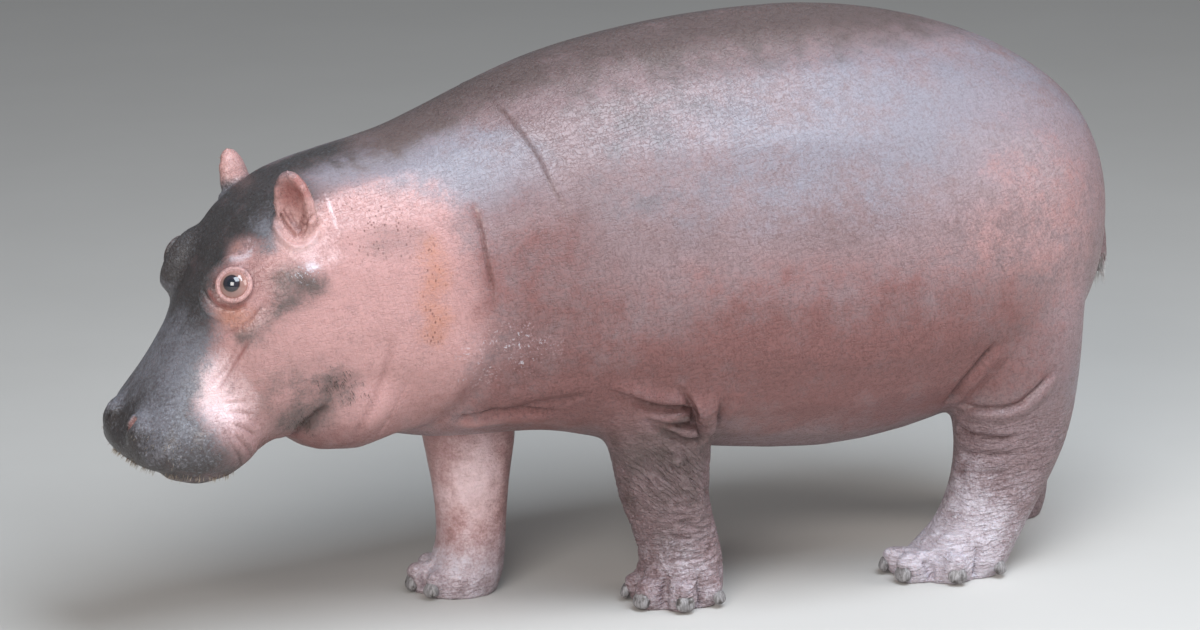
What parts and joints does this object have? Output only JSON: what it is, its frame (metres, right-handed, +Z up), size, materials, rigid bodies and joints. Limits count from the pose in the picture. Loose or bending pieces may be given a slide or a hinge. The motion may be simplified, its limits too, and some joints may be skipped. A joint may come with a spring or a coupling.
{
  "type": "hippopotamus calf, life-size model",
  "caption": "Life-size still model of a young hippopotamus in mid-stride, head low and mouth closed, standing on its own soles.",
  "frame": {"origin": "on the floor, under the middle of the model's box", "axes": "+X towards the tail, the calf faces -X; +Y towards its right side; +Z up"},
  "size_m": [1.4744, 0.512, 0.789],
  "materials": {
    "skin": "smooth damp bare hide, mauve-grey above and pink below, finely creased",
    "eye": "wet glassy eye, brown iris and wide dark pupil",
    "nail": "worn grey horn, as the toenails, lip whiskers and tail bristles"
  },
  "bodies": {
    "root": {"ear_left": "skin", "ear_right": "skin", "eye_left": "eye", "eye_right": "eye", "fore_foot_left": "skin", "fore_foot_right": "skin", "fore_leg_left": "skin", "fore_leg_right": "skin", "head": "skin", "hind_foot_left": "skin", "hind_foot_right": "skin", "hind_leg_left": "skin", "hind_leg_right": "skin", "lower_jaw": "skin", "nail_fore_left_1": "nail", "nail_fore_left_2": "nail", "nail_fore_left_3": "nail", "nail_fore_left_4": "nail", "nail_fore_right_1": "nail", "nail_fore_right_2": "nail", "nail_fore_right_3": "nail", "nail_fore_right_4": "nail", "nail_hind_left_1": "nail", "nail_hind_left_2": "nail", "nail_hind_left_3": "nail", "nail_hind_left_4": "nail", "nail_hind_right_1": "nail", "nail_hind_right_2": "nail", "nail_hind_right_3": "nail", "nail_hind_right_4": "nail", "neck": "skin", "tail": "skin", "trunk": "skin"}
  },
  "joints": []
}
